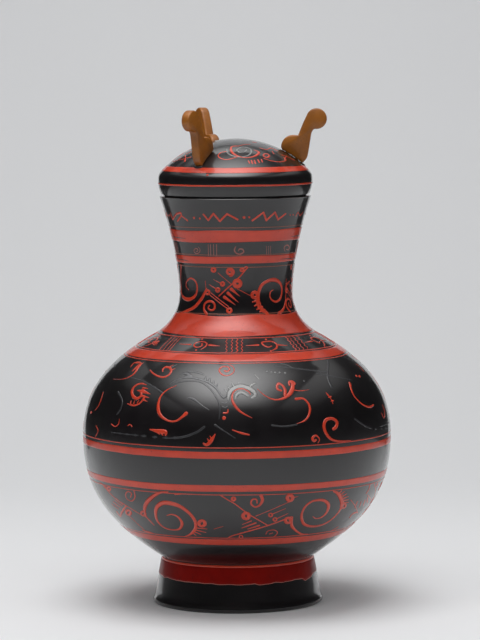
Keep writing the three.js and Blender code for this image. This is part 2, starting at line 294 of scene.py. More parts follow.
class Finish(Tree):
    """A material with one Principled shader whose patterns read Object coordinates."""

    def __init__(self, name, **constants):
        self.material = bpy.data.materials.new(name)
        self.material.use_nodes = True
        super().__init__(self.material.node_tree)
        self.shader = self.tree.nodes["Principled BSDF"]
        for key, value in constants.items():
            self.set(self.shader, key.replace("_", " "), value)
        self.place = self.add("ShaderNodeTexCoord").outputs["Object"]

    def noise(self, scale, detail=3.0, roughness=0.5, stretch=(1, 1, 1)):
        moved = self.add("ShaderNodeMapping", Vector=self.place, Scale=stretch)
        return self.add("ShaderNodeTexNoise", Vector=moved.outputs[0], Scale=scale, Detail=detail,
                        Roughness=roughness).outputs["Fac"]

    def ramp(self, value, *stops):
        node = self.tree.nodes.new("ShaderNodeValToRGB")
        self.set(node, 0, value)
        elements = node.color_ramp.elements
        while len(elements) < len(stops):
            elements.new(0.5)
        for element, (position, colour) in zip(elements, stops):
            element.position = position
            element.color = (*colour, 1) if isinstance(colour, tuple) else (colour,) * 3 + (1,)
        return node.outputs[0]

    def blend(self, share, a, b):
        node = self.tree.nodes.new("ShaderNodeMix")
        node.data_type = "RGBA"
        for index, value in ((0, share), (6, a), (7, b)):
            if isinstance(value, bpy.types.NodeSocket):
                self.tree.links.new(value, node.inputs[index])
            else:
                node.inputs[index].default_value = (*value, 1) if isinstance(value, tuple) else value
        return node.outputs[2]

    def bump(self, height, strength, distance=0.0002):
        node = self.add("ShaderNodeBump", Height=height, Strength=strength, Distance=distance)
        self.set(self.shader, "Normal", node.outputs[0])


def linear(code):
    """A linear colour from the screen colour written as hexadecimal."""
    parts = [int(code[i:i + 2], 16) / 255 for i in (0, 2, 4)]
    return tuple(p / 12.92 if p < 0.04045 else ((p + 0.055) / 1.055) ** 2.4 for p in parts)


def black_lacquer():
    f = Finish("black_lacquer", IOR=1.4, Coat_Weight=1.0, Coat_Roughness=0.09)
    grey = f.ramp(f.noise(16, 4), (0.3, linear("0A0809")), (0.75, linear("120D10")))
    dust = f.ramp(f.noise(900, 2, 0.6), (0.68, 0.0), (0.78, 1.0))
    f.set(f.shader, "Base Color", f.blend(f.math("MULTIPLY", dust, 0.22), grey, linear("6E6A68")))
    f.set(f.shader, "Roughness", f.ramp(f.noise(38, 5, 0.6), (0.3, 0.3), (0.8, 0.46)))
    slow = f.noise(26, 2, 0.4)
    fine = f.math("MULTIPLY", f.noise(300, 2), 0.05)
    f.bump(f.math("ADD", slow, fine), 0.4, 0.0004)
    return f.material


def paint_finish(name, low, high, dark, gloss=0.75, body=1.45):
    f = Finish(name, IOR=body, Coat_Weight=gloss, Coat_Roughness=0.09)
    base = f.ramp(f.noise(34, 5, 0.6), (0.25, linear(low)), (0.75, linear(high)))
    lost = f.ramp(f.noise(420, 3, 0.65), (0.62, 0.0), (0.72, 1.0))
    rubbed = f.math("MULTIPLY", lost, f.ramp(f.noise(22, 3), (0.45, 0.0), (0.7, 1.0)))
    f.set(f.shader, "Base Color", f.blend(rubbed, base, linear(dark)))
    f.set(f.shader, "Roughness", f.ramp(f.noise(120, 3), (0.2, 0.36), (0.8, 0.5)))
    f.bump(f.noise(180, 3, 0.5), 0.25, 0.00015)
    return f.material


def inside_lacquer():
    f = Finish("vermilion_inside", IOR=1.5)
    base = f.ramp(f.noise(18, 5, 0.6), (0.25, linear("8E2413")), (0.75, linear("B03A22")))
    dirt = f.ramp(f.noise(60, 4, 0.7), (0.55, 0.0), (0.8, 0.7))
    f.set(f.shader, "Base Color", f.blend(dirt, base, linear("4A1810")))
    f.set(f.shader, "Roughness", f.ramp(f.noise(90, 3), (0.2, 0.34), (0.8, 0.55)))
    f.bump(f.noise(70, 4, 0.6), 0.3, 0.0003)
    return f.material


def ochre_lacquer():
    f = Finish("ochre_lacquer", IOR=1.5, Coat_Weight=0.25, Coat_Roughness=0.2)
    base = f.ramp(f.noise(60, 5, 0.6), (0.25, linear("764100")), (0.75, linear("9C5C04")))
    pits = f.ramp(f.noise(700, 3, 0.6), (0.6, 0.0), (0.72, 1.0))
    f.set(f.shader, "Base Color", f.blend(f.math("MULTIPLY", pits, 0.5), base, linear("2E1704")))
    f.set(f.shader, "Roughness", f.ramp(f.noise(150, 3), (0.2, 0.36), (0.8, 0.55)))
    f.bump(f.noise(330, 4, 0.6), 0.35, 0.0002)
    return f.material


def bamboo():
    f = Finish("split_bamboo", IOR=1.5)
    fibre = f.noise(900, 3, 0.6, (1, 1, 0.06))
    f.set(f.shader, "Base Color", f.ramp(fibre, (0.3, linear("9A7B46")), (0.7, linear("CDB07A"))))
    f.set(f.shader, "Roughness", f.ramp(fibre, (0.3, 0.5), (0.7, 0.68)))
    f.bump(fibre, 0.3, 0.0001)
    return f.material


BLACK = black_lacquer()
INSIDE = inside_lacquer()
RED = paint_finish("vermilion_paint", "B02808", "CC3812", "3A1A14")
WORN_RED = paint_finish("worn_red_paint", "844840", "A05C52", "33201E")
DEEP_RED = paint_finish("deep_red_paint", "680500", "860A00", "260805", 0.2, 1.2)
EDGE_RED = paint_finish("pale_edge_paint", "A8584C", "C07A6C", "5A2018")
BROWN = paint_finish("brown_line_paint", "7A3A24", "94513A", "2A1610")
SILVER = paint_finish("faded_silver_paint", "626263", "828280", "38373C")
ASH = paint_finish("ash_grey_paint", "3C3C3F", "4E4E50", "201F22")
SMOKE = paint_finish("smoke_grey_paint", "242427", "313134", "18171A")
OCHRE = ochre_lacquer()
BAMBOO = bamboo()
SLOT = {**dict.fromkeys((RED, WORN_RED, DEEP_RED, EDGE_RED), "vermilion_lacquer"), BROWN: "ochre_lacquer",
        **dict.fromkeys((SILVER, ASH, SMOKE, BLACK), "black_lacquer")}


# Turned pieces

def profile_mesh(name, points):
    """A line of points in radius and height, in millimetres, as mesh edges in the XZ plane."""
    mesh = bpy.data.meshes.new(name)
    edges = [(i, i + 1) for i in range(len(points) - 1)]
    mesh.from_pydata([(r * MM, 0, z * MM) for r, z in points], edges, [])
    return mesh


def turn(name, outside, inside, body, nodes, inner_finish=None, facets=192):
    """A closed turned piece: its outside line runs upwards and its inside line back down."""
    points = [tuple(p) for p in (*outside, *inside, outside[0])]
    made = run_tree(profile_mesh(name, points), name, TURNED, Points=len(points), Facets=facets,
                    Inside_From=len(outside), Outside=BLACK, Inside=inner_finish or BLACK)
    made.data.set_sharp_from_angle(angle=math.radians(32))
    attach(made, body)
    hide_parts(*nodes)


def between(line, low, high):
    """The stretch of a line between two heights."""
    def cut(height):
        if height <= line[0].y:
            return Vector((line[0].x, height))
        for a, b in zip(line, line[1:]):
            if a.y <= height <= b.y:
                return a.lerp(b, (height - a.y) / (b.y - a.y))
        return line[-1]
    return [cut(low), *[p for p in line if low < p.y < high], cut(high)]


FOOT_OUTSIDE = [(88.2, 0), *quadratic((94.2, 0), (97.6, 0), (97.6, 4.5), 8),
                *quadratic((97.6, 4.5), (95.6, 8.5), (94.6, 14), 6)[1:], FOOT_TOP]
turn("turned_foot", FOOT_OUTSIDE, [(FOOT_BORE, FOOT_TOP[1]), (FOOT_BORE, 45.6)], "vessel", ["foot_ring"])

LEDGE_BORE, LEDGE_RADIUS, LEDGE_TOP = 65.9, 71.9, 51.9  # the ledge that carries the floor disc
SPIGOT_RADIUS, SPIGOT_LOW = 76.0, 45.9  # the spigot that stands in the foot ring
rim = [(86.6, 465.7), (86.2, 466.2), (85.6, MOUTH[1]), (79.2, MOUTH[1])]
belly_outside = [(LEDGE_BORE, SPIGOT_LOW), (SPIGOT_RADIUS, SPIGOT_LOW), (SPIGOT_RADIUS, FOOT_TOP[1]),
                 *between(OUTER, FOOT_TOP[1], 465.2), *rim]
belly_inside = [*reversed(between(INNER, FLOOR_TOP, 464.5)), (LEDGE_RADIUS, FLOOR_TOP),
                (LEDGE_RADIUS, LEDGE_TOP), (LEDGE_BORE, LEDGE_TOP)]
turn("turned_vessel", belly_outside, belly_inside, "vessel", ["lower_belly", "upper_belly", "neck"], INSIDE,
     240)

LID_WIDEST = (88.1, SKIRT_Z + 15.5)
lid_arc = dome_arc(DOME_RADIUS, 83, 0, 36)
lid_fall = (lid_arc[0] - lid_arc[1]).normalized() * 6
lid_side = quadratic((84.7, SKIRT_Z), (88.1, SKIRT_Z + 7.75), LID_WIDEST, 8)
LID_OUTSIDE = [*lid_side, *sweep(LID_WIDEST, (0, 6), lid_arc[0], -lid_fall, 12)[1:], *lid_arc[1:]]
LID_WALL, LID_BORE, REBATE_RADIUS, REBATE_TOP = 10, 70, 82.3, 471.9
PLUG_LOW, COLLAR_RADIUS, COLLAR_TOP = 450.4, 82, 471.6
lid_cavity = [*reversed(dome_arc(DOME_RADIUS - LID_WALL, LID_BORE, 0, 30)), (LID_BORE, REBATE_TOP),
              (REBATE_RADIUS, REBATE_TOP), (REBATE_RADIUS, SKIRT_Z)]
turn("turned_lid", LID_OUTSIDE, lid_cavity, "lid", ["lid_dome"], INSIDE)
plug_side = [(LID_BORE, PLUG_LOW), (71.3, PLUG_LOW), (72.5, 451.6), (77.0, MOUTH[1]),
             (COLLAR_RADIUS, MOUTH[1]), (COLLAR_RADIUS, COLLAR_TOP)]
turn("turned_lid_plug", plug_side, [(LID_BORE, COLLAR_TOP)], "lid", ["lid_plug"], INSIDE)

for name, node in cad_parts.items():
    if name == "floor_disc" or name.endswith("_pin"):
        node.data.materials.clear()
        node.data.materials.append(INSIDE if name == "floor_disc" else BAMBOO)


# Bird knobs

HEAD_OUT, HEAD_UP, HEAD_RADIUS = 16.6, 50.6, 11.8
HEAD_START, HEAD_SWEEP, HEAD_STEPS = -1.74, 4.36, 26  # the head's arc, in radians
FOOT_GAP = 0.3  # between the dome and the knob's foot
KNOB_THICKNESS = 10.2
KNOB_CHAMFER = 1.3


def knob_outline():
    """Outline in (out along the radius, up) from the outer foot: round head that looks outwards,
    straight neck that leans out, and round breast towards the middle of the lid."""
    foot_height = dome_height(KNOB_FOOT_RADIUS, FOOT_GAP)

    def on_dome(along):
        return along, dome_height(KNOB_FOOT_RADIUS + along, FOOT_GAP) - foot_height

    turns = [HEAD_START + HEAD_SWEEP * i / HEAD_STEPS for i in range(HEAD_STEPS + 1)]
    head = [(HEAD_OUT + math.cos(a) * HEAD_RADIUS, HEAD_UP + math.sin(a) * HEAD_RADIUS) for a in turns]
    points = [Vector(p) for p in quadratic((0, 0), (5.6, 4.2), (6.6, 9.5), 5)]
    points += [Vector((7.9, 17.1)), Vector((9.1, 24.8))]
    points += quadratic((10.4, 32.4), (11.2, 37.6), (14.6, HEAD_UP - HEAD_RADIUS + 0.2), 6)[:-1]
    points += [Vector(p) for p in head]
    points += [Vector((1.3, 45.9)), Vector((-1.6, 38.8))]
    breast = [Vector((-4.6, 31.6)), Vector((-13, 33.6)), Vector((-21.4, 30.6)), Vector((-23.6, 21.5))]
    for i in range(13):
        t = i / 12
        points.append(breast[0] * (1 - t) ** 3 + breast[1] * 3 * t * (1 - t) ** 2
                      + breast[2] * 3 * t * t * (1 - t) + breast[3] * t**3)
    points += quadratic((-23.6, 21.5), (-24.6, 17.8), on_dome(-22.6), 3)[1:]
    points += [Vector(on_dome(a)) for a in (-19, -15.2, -11.4, -7.6, -3.8)]
    return points


def make_knob(name, angle):
    """A knob cut from board: two faces, chamfered and slightly rounded along every edge."""
    outline = knob_outline()
    count = len(outline)
    bm = bmesh.new()
    foot_z = dome_height(KNOB_FOOT_RADIUS, FOOT_GAP)

    def inset(distance):
        moved = []
        for i, p in enumerate(outline):
            along = (outline[(i + 1) % count] - outline[i - 1]).normalized()
            moved.append(p + Vector((-along.y, along.x)) * distance)
        return moved

    half = KNOB_THICKNESS / 2
    section = [(-half, KNOB_CHAMFER), (-half + 0.35, KNOB_CHAMFER * 0.55), (-half + KNOB_CHAMFER, 0.12),
               (-half + KNOB_CHAMFER + 0.8, 0), (half - KNOB_CHAMFER - 0.8, 0), (half - KNOB_CHAMFER, 0.12),
               (half - 0.35, KNOB_CHAMFER * 0.55), (half, KNOB_CHAMFER)]
    rows = []
    for across, depth in section:
        rows.append([bm.verts.new(((KNOB_FOOT_RADIUS + p.x) * MM, across * MM, (foot_z + p.y) * MM))
                     for p in inset(depth)])
    for a, b in zip(rows, rows[1:]):
        for i in range(count):
            j = (i + 1) % count
            bm.faces.new((a[i], a[j], b[j], b[i]))
    bm.faces.new(reversed(rows[0]))
    bm.faces.new(rows[-1])
    bmesh.ops.recalc_face_normals(bm, faces=bm.faces)
    for face in bm.faces:
        face.smooth = len(face.verts) == 4
    bmesh.ops.rotate(bm, verts=bm.verts, matrix=Matrix.Rotation(math.radians(angle), 3, "Z"))
    mesh = bpy.data.meshes.new("carved_" + name)
    bm.to_mesh(mesh)
    bm.free()
    mesh.materials.append(OCHRE)
    made = bpy.data.objects.new("carved_" + name, mesh)
    bpy.context.collection.objects.link(made)
    mesh.set_sharp_from_angle(angle=math.radians(40))
    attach(made, "lid")
    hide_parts(name)


for knob_name, knob_angle in KNOB_ANGLES.items():
    make_knob(knob_name, knob_angle)


# Painting: where things are on the walls

CAMERA_PLACE = Vector((0.0044, -3.877, 0.6416))
CAMERA_PITCH = 0.0818
CAMERA_ROLL = -0.0066
FOCAL_PIXELS = 3397
PICTURE_WIDTH, PICTURE_HEIGHT = 480, 640
CAMERA_TURN = Matrix.Rotation(math.pi / 2 - CAMERA_PITCH, 3, "X") @ Matrix.Rotation(CAMERA_ROLL, 3, "Z")
PIXEL = 1.14  # millimetres on the jar's front that one pixel of the photograph covers
BACK = math.pi / 2  # flat angle of the jar's back, where painted rings start and end


def wall_object(name, line):
    """The line of a wall, which the painting tree reads for places and slopes."""
    made = bpy.data.objects.new(name, profile_mesh(name, [tuple(p) for p in line]))
    bpy.context.collection.objects.link(made)
    return made


class Wall:
    """A turned wall's outer line, with its heights and its length from the lower end."""

    def __init__(self, name, line):
        self.line = [Vector(p) for p in line]
        self.heights = [p.y for p in self.line]
        self.run = [0.0]
        for a, b in zip(self.line, self.line[1:]):
            self.run.append(self.run[-1] + (b - a).length)
        self.object = wall_object(name, line)

    def read(self, height):
        """Radius and length along the line at a height."""
        i = min(max(bisect_left(self.heights, height), 1), len(self.line) - 1)
        low, high = self.line[i - 1], self.line[i]
        share = (height - low.y) / max(high.y - low.y, 1e-9)
        clamped = min(max(share, 0), 1)
        return low.x + (high.x - low.x) * share, self.run[i - 1] + (self.run[i] - self.run[i - 1]) * clamped

    def seen(self, x, y):
        """Flat angle round the wall and length along it behind a pixel of the photograph. The flat
        angle is 0 at +X and a quarter turn less at the front."""
        aim = CAMERA_TURN @ Vector(((x - PICTURE_WIDTH / 2) / FOCAL_PIXELS,
                                    (PICTURE_HEIGHT / 2 - y) / FOCAL_PIXELS, -1))
        start = CAMERA_PLACE / MM

        def clear(distance):
            point = start + aim * distance
            return math.hypot(point.x, point.y) - self.read(point.z)[0]

        reaches = [3680.0 + 4 * i for i in range(52)]
        hit = next((r for r in reaches if clear(r) <= 0), None)
        if hit is None:
            hit = min(reaches, key=clear)
        else:
            low, high = hit - 4, hit
            for _ in range(12):
                middle = (low + high) / 2
                low, high = (low, middle) if clear(middle) <= 0 else (middle, high)
            hit = high
        point = start + aim * hit
        return math.atan2(point.y, point.x), self.read(point.z)[1]


WALLS = {"vessel": Wall("vessel_wall_line", OUTER), "foot": Wall("foot_wall_line", FOOT_OUTSIDE),
         "lid": Wall("lid_wall_line", LID_OUTSIDE)}


def stroke_curve(name, strokes):
    """Strokes as one curve: each is a list of (x, y, half width) in millimetres, and open or closed."""
    curve = bpy.data.curves.new(name, "CURVE")
    curve.dimensions = "3D"
    for points, closed in strokes:
        spline = curve.splines.new("POLY")
        spline.points.add(len(points) - 1)
        spline.use_cyclic_u = closed
        for point, (x, y, half) in zip(spline.points, points):
            point.co = (x * MM, y * MM, 0, 1)
            point.radius = max(half, 0.02) * MM
    return curve


def paint(name, wall, reference, strokes, finish, across=6, wobble=0.12, scale=60.0, seed=1.0,
          thickness=PAINT):
    """Strokes laid on a wall as one piece that rides with the lid or the vessel."""
    made = run_tree(stroke_curve(name, strokes), name, PAINTED, Wall=WALLS[wall].object,
                    Reference_Radius=reference * MM, Thickness=thickness * MM, Sink=PAINT_SINK * MM,
                    Across=across, Wobble=wobble * MM, Wobble_Scale=scale, Seed=seed, Paint=finish)
    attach(made, "lid" if wall == "lid" else "vessel")


# Painted rings

RINGS = [
    # name, wall, lower and upper height in millimetres, finish, lean to the right
    ("neck_line_top", "vessel", 433.1, 433.9, BROWN, 0.003),
    ("neck_band_upper", "vessel", 416.9, 430.2, RED, 0.006),
    ("neck_line_middle", "vessel", 402.0, 402.7, BROWN, 0.0),
    ("neck_band_lower", "vessel", 392.6, 401.0, RED, 0.010),
    ("neck_line_low", "vessel", 388.2, 389.0, BROWN, 0.0),
    ("neck_base_line_upper", "vessel", 335.5, 336.3, BROWN, 0.0),
    ("neck_base_band", "vessel", 312.5, 334.6, RED, 0.0),
    ("neck_base_line_lower", "vessel", 310.3, 311.1, RED, 0.0),
    ("shoulder_line_upper", "vessel", 295.9, 296.7, RED, 0.0),
    ("shoulder_band", "vessel", 287.6, 295.2, RED, 0.0),
    ("shoulder_line_lower", "vessel", 285.7, 286.5, RED, 0.0),
    ("belly_line_upper", "vessel", 196.9, 197.9, RED, 0.0),
    ("belly_band_upper", "vessel", 185.4, 192.9, RED, -0.004),
    ("belly_band_lower", "vessel", 148.2, 155.4, RED, -0.004),
    ("belly_line_lower", "vessel", 144.0, 145.0, RED, -0.004),
    ("low_line", "vessel", 91.2, 92.2, RED, 0.0),
    ("low_band", "vessel", 82.1, 89.9, RED, 0.0),
    # red paint at the top of the foot; its brighter red over the deep red foot is partly a painted
    # highlight, the light caught in the corner above the foot
    ("foot_strip", "foot", 50.6, 53.3, RED, 0.0),
    ("lid_band", "lid", 495.3, 501.0, RED, 0.0),
    ("lid_line", "lid", 480.0, 481.9, RED, 0.0),
]


def closed_ring(reference, edges, count=240):
    """One open stroke that starts and ends at the back; edges gives its lower and upper length along
    the wall at a flat angle."""
    points = []
    for i in range(count + 1):
        angle = BACK + math.tau * i / count
        low, high = edges(angle)
        points.append((angle * reference, (low + high) / 2, (high - low) / 2))
    return points, False


def painted_ring(name, wall, low, high, finish, lean, seed):
    reference = WALLS[wall].read((low + high) / 2)[0]
    bottom, top = WALLS[wall].read(low)[1], WALLS[wall].read(high)[1]
    swell = 0.03 * (top - bottom)

    def edges(angle):
        shift = lean * math.cos(angle) * reference
        return (bottom + shift - swell * math.sin(3 * angle + seed),
                top + shift + swell * math.sin(5 * angle + 2 * seed))

    wide = high - low > 3
    paint(name, wall, reference, [closed_ring(reference, edges)], finish, across=16 if wide else 8,
          wobble=0.5 if wide else 0.25, scale=38.0, seed=seed * 1.7)


for index, ring in enumerate(RINGS):
    painted_ring(*ring, seed=index + 1.0)


# The foot's deep red runs down to a ragged edge, traced in pixels along the front
FOOT_EDGE = [(160.5, 575.5), (164, 577.6), (168, 577.5), (176, 580.4), (185, 581.5), (193, 582.5),
             (205, 583.5), (213, 583.6), (220, 585), (227, 584.5), (242, 585), (248, 584.5),
             (255, 584), (259, 585), (268, 584), (275, 582.5), (283, 582.3), (289, 581), (296, 579.5),
             (303, 578.5), (305, 580.5), (311, 576.6), (317, 573)]


def foot_edge_line():
    """The ragged edge all round: as seen on the front, and the same again, mirrored, on the back."""
    front = [WALLS["foot"].seen(x, y) for x, y in FOOT_EDGE]
    back = [(-angle, run) for angle, run in reversed(front) if -2.9 < angle < -0.25]
    line = sorted(front + back)
    return [(line[-1][0] - math.tau, line[-1][1]), *line, (line[0][0] + math.tau, line[0][1])]


def paint_foot():
    reference = WALLS["foot"].read(40)[0]
    top = WALLS["foot"].read(50.9)[1]
    line = foot_edge_line()
    angles = [a for a, _ in line]

    def ragged(angle):
        turned = (angle + math.pi) % math.tau - math.pi
        i = min(max(bisect_left(angles, turned), 1), len(line) - 1)
        (a0, run0), (a1, run1) = line[i - 1], line[i]
        share = (turned - a0) / max(a1 - a0, 1e-9)
        return run0 + (run1 - run0) * share + 0.25 * math.sin(31 * turned) * math.sin(13 * turned)

    band = closed_ring(reference, lambda a: (ragged(a), top), 360)
    edge = closed_ring(reference, lambda a: (ragged(a) - 0.3, ragged(a) + 0.35), 360)
    paint("foot_band", "foot", reference, [band], DEEP_RED, across=16, wobble=0.2, scale=90.0)
    paint("foot_band_edge", "foot", reference, [edge], EDGE_RED, wobble=0.2, scale=90.0,
          thickness=PAINT + 0.08)


paint_foot()


# Brush strokes, traced on the photograph in its pixels: each point is (x, y), or
# (x, y, half width), and each named list is one group of strokes at its place in the picture

def brush(half, *points):
    """An open stroke; a point without its own half width takes the stroke's."""
    return [(*p, half) if len(p) == 2 else p for p in points], False


def brushes(half, *lines):
    """Several strokes of one half width."""
    return [brush(half, *line) for line in lines]


def ring(x, y, radius, half):
    turns = [math.tau * i / 12 for i in range(12)]
    return [(x + math.cos(a) * radius, y + math.sin(a) * radius, half) for a in turns], True


def eye(x, y, radius):
    return ring(x, y, radius * 0.66, radius * 0.31)


def dot(x, y, radius):
    return ring(x, y, radius * 0.5, radius * 0.5)


def coil(x, y, outer, inner, start, turns, half, flat=1.0):
    """A spiral from its outer end inwards; start is in degrees, and positive turns run clockwise."""
    count = int(abs(turns) * 10) + 2
    points = []
    for i in range(count):
        share = i / (count - 1)
        a = math.radians(start) + math.tau * turns * share
        reach = outer + (inner - outer) * share
        swell = 0.55 + 0.45 * math.sin(3 * share)
        points.append((x + math.cos(a) * reach, y + math.sin(a) * reach * flat, half * swell))
    return points, False


def zigzag(half, *corners):
    """Straight strokes from corner to corner."""
    return [brush(half, a, b) for a, b in zip(corners, corners[1:])]


def wavy(half, start, end, swing=0.7, waves=4):
    """A line with small regular waves."""
    a, b = Vector(start), Vector(end)
    count = 2 * waves
    line = [a.lerp(b, i / count) for i in range(count + 1)]
    return brush(half, *[(p.x + (swing if i % 2 else -swing), p.y) for i, p in enumerate(line)])


def wedge(wide, narrow, start, end):
    return brush(wide, (*start, wide), (*end, narrow))


NECK_ZIGZAGS = [
    *zigzag(0.7, (170.5, 213.5), (172.8, 219.5), (176.6, 213.6)),
    brush(0.8, (177, 213.8, 0.7), (180.3, 212.9, 0.9), (181, 215.8), (177.5, 221)),
    brush(0.7, (181, 215.5), (187.5, 220.5)), dot(194, 218, 1.1), dot(199.8, 218.5, 0.9),
    *zigzag(0.75, (203.5, 214.5), (208.3, 220.3), (213.4, 213.6), (219.9, 221.3), (227, 214),
            (237.5, 219.5)),
    *zigzag(0.4, (296, 216), (298, 212), (300, 216), (303, 212)), dot(290.2, 215, 0.7),
    dot(293.2, 214.8, 0.7),
]
NECK_DOTS = [dot(244, 217.5, 1.3), dot(249.2, 217.2, 0.9)]
NECK_ZIGZAG = zigzag(0.75, (252.5, 220.5), (263.4, 212.5), (266.4, 220.4), (275, 212.4), (278, 219.5),
                     (285.5, 214))

SMALL_SPIRAL = [coil(196.5, 250.5, 3.9, 0.7, -60, 1.5, 0.4)]
SMALL_LINES = brushes(0.28, *[[(x, 244.5), (x + 0.2, 255.5)] for x in (208.2, 210.5, 213.5, 216.5)])
SMALL_HOOKS = [
    brush(0.5, (235.8, 246.6, 0.3), (234.4, 250), (236.2, 253.2), (240, 254.2), (243.6, 252.2),
          (242.6, 249.4), (239.4, 249.2), (238.6, 251, 0.3)),
    *brushes(0.2, *[[(x, 246), (x + 0.2, 255)] for x in (266.5, 268.5, 270.5)]),
    brush(0.5, (285, 251.2, 0.3), (284.2, 247.4), (286.8, 245), (289.2, 246.6), (288.6, 249.6),
          (286.4, 249.2, 0.3)),
]

NECK_LEFT = [
    brush(1, (181, 265.5, 1.2), (180.8, 273, 0.8), (180.8, 281, 0.5), (181.5, 293, 0.9),
          (183.5, 297.5, 1.4), (189, 299.5, 1.5), (195, 296, 1.2), (197.2, 289, 0.8),
          (195.5, 281.5, 0.7), (190.5, 278.3, 0.7), (186.5, 282, 0.6), (186.3, 286.5, 0.5),
          (188.8, 290, 0.3)),
]
NECK_ROOT = [
    brush(1, (179.5, 313.5, 0.6), (186, 311.2, 1.3), (194, 307.5, 1.5), (201, 299.5, 1.4),
          (204.5, 293.5, 1.2), (206.5, 288.5, 0.5)),
]
NECK_CROSS = [
    brush(0.25, (205.3, 281), (206, 290)), eye(207.6, 292.4, 2.9),
    brush(1, (206.5, 314, 1.2), (204, 309.5, 0.9), (205, 303.5, 0.9), (210, 301.2, 0.9),
          (214.2, 303.5, 0.8), (214.5, 308.5, 0.8), (211, 310.3, 0.7), (208.2, 308, 0.6),
          (209.5, 305.5, 0.5)),
    *brushes(0.35, [(211, 293), (228.5, 306.5)], [(209.6, 294.8), (227, 308.4)]),
    eye(229.3, 310.6, 3.1),
    brush(0.5, (219, 296), (231, 285), (240, 276.5), (247.5, 267.5)),
    eye(237.4, 283.6, 4.9), brush(0.4, (236.3, 282), (239, 282.6), (239, 285), (236.6, 285.4)),
    eye(213.5, 269.8, 2.9), coil(230, 272, 4.3, 1.2, 90, -1.6, 1.0), eye(242, 269.8, 2.4),
    brush(0.5, (243.6, 268.2), (246.5, 266.8), (247.6, 268.6, 0.2)),
    eye(222.5, 284, 2.6), brush(0.4, (213.5, 279.5, 0.15), (220, 283)),
    eye(217.7, 290, 2.6), brush(0.4, (209, 284.5, 0.15), (215.5, 288.5)),
    wedge(1.3, 0.1, (231.3, 289.3), (240, 296.5)), wedge(1.3, 0.1, (228, 293.3), (238.5, 302.5)),
    wedge(1.3, 0.1, (224.5, 297.3), (235.5, 305)),
    *brushes(0.25, [(218, 273), (231, 284)], [(237.5, 289), (250, 295.5)]),
]
NECK_SPIRAL = [
    eye(254.8, 295, 4.3), *[wedge(1.0, 0.5, a, b) for a, b in (((258.5, 300), (252.6, 302)),
        ((260, 303.5), (254.5, 306)), ((262, 307), (257, 309.5)), ((264.5, 310), (260, 312)))],
    brush(1, (267, 313.5, 1.6), (260.5, 308, 1.9), (258, 301, 1.8), (258.5, 293, 1.4), (262, 285, 1.3),
          (268, 281, 1.3), (274.5, 279.8, 1.5), (280, 283, 1.3), (282, 289, 1.1), (281, 297, 1),
          (277, 301.5, 0.9), (272.5, 300.5, 0.7), (270, 296.5, 0.6), (270.5, 292, 0.5),
          (273, 290, 0.3)),
]
NECK_NEXT_ROOT = [
    brush(1, (279, 313.5, 1.4), (283.5, 309, 1), (285.5, 301, 0.7), (286, 293, 0.6), (286.5, 285, 1.2),
          (290, 281, 0.3)),
]

SHOULDER_LEFT = [
    *brushes(0.3, [(171.5, 337.5), (158.5, 350.5)], [(175, 337.5), (162.5, 350.8)], [(178.5, 337.3),
             (166, 351)], [(181.5, 337), (169, 351)]),
    coil(155.2, 342.7, 3, 0.6, 60, 1.4, 0.6, 0.8), dot(158.2, 341.5, 1.2),
    wedge(0.9, 0.2, (190.5, 344.5), (179.5, 344)),
    brush(0.65, (201, 349.5, 0.3), (206, 346), (206.5, 343), (202, 341.5), (196.5, 342.5), (194, 345),
          (195.5, 347), (199, 347), (202, 345.5), (202, 343.5)),
    dot(202, 339.2, 0.9), dot(196.2, 350, 0.9), wedge(1.4, 0.2, (210, 345), (219.5, 346)),
]
SHOULDER_UNIT = [
    wedge(1.1, 0.2, (258, 345), (246, 345.5)),
    brush(0.8, (272, 350.5, 0.3), (276.5, 348), (276.5, 344), (272, 341.5), (266, 341.5), (262, 342.5),
          (263.5, 345), (268, 347), (271.5, 346, 0.5)),
    dot(266, 339.5, 1), dot(271, 351, 0.9), wedge(0.9, 0.2, (278.5, 344.8), (287, 345.5)),
]
SHOULDER_WAVES = [wavy(half, (x, 338), (x, 352))
                  for x, half in ((226.5, 0.3), (232, 0.3), (237, 0.5), (242, 0.3))]
SHOULDER_RIGHT = [
    wavy(0.45, (286, 337), (296.5, 350.5)), wavy(0.3, (289, 337), (300, 350)), wavy(0.3, (293, 336.5),
          (304, 349.5)),
    wavy(0.3, (297, 336), (308, 348.5)),
]

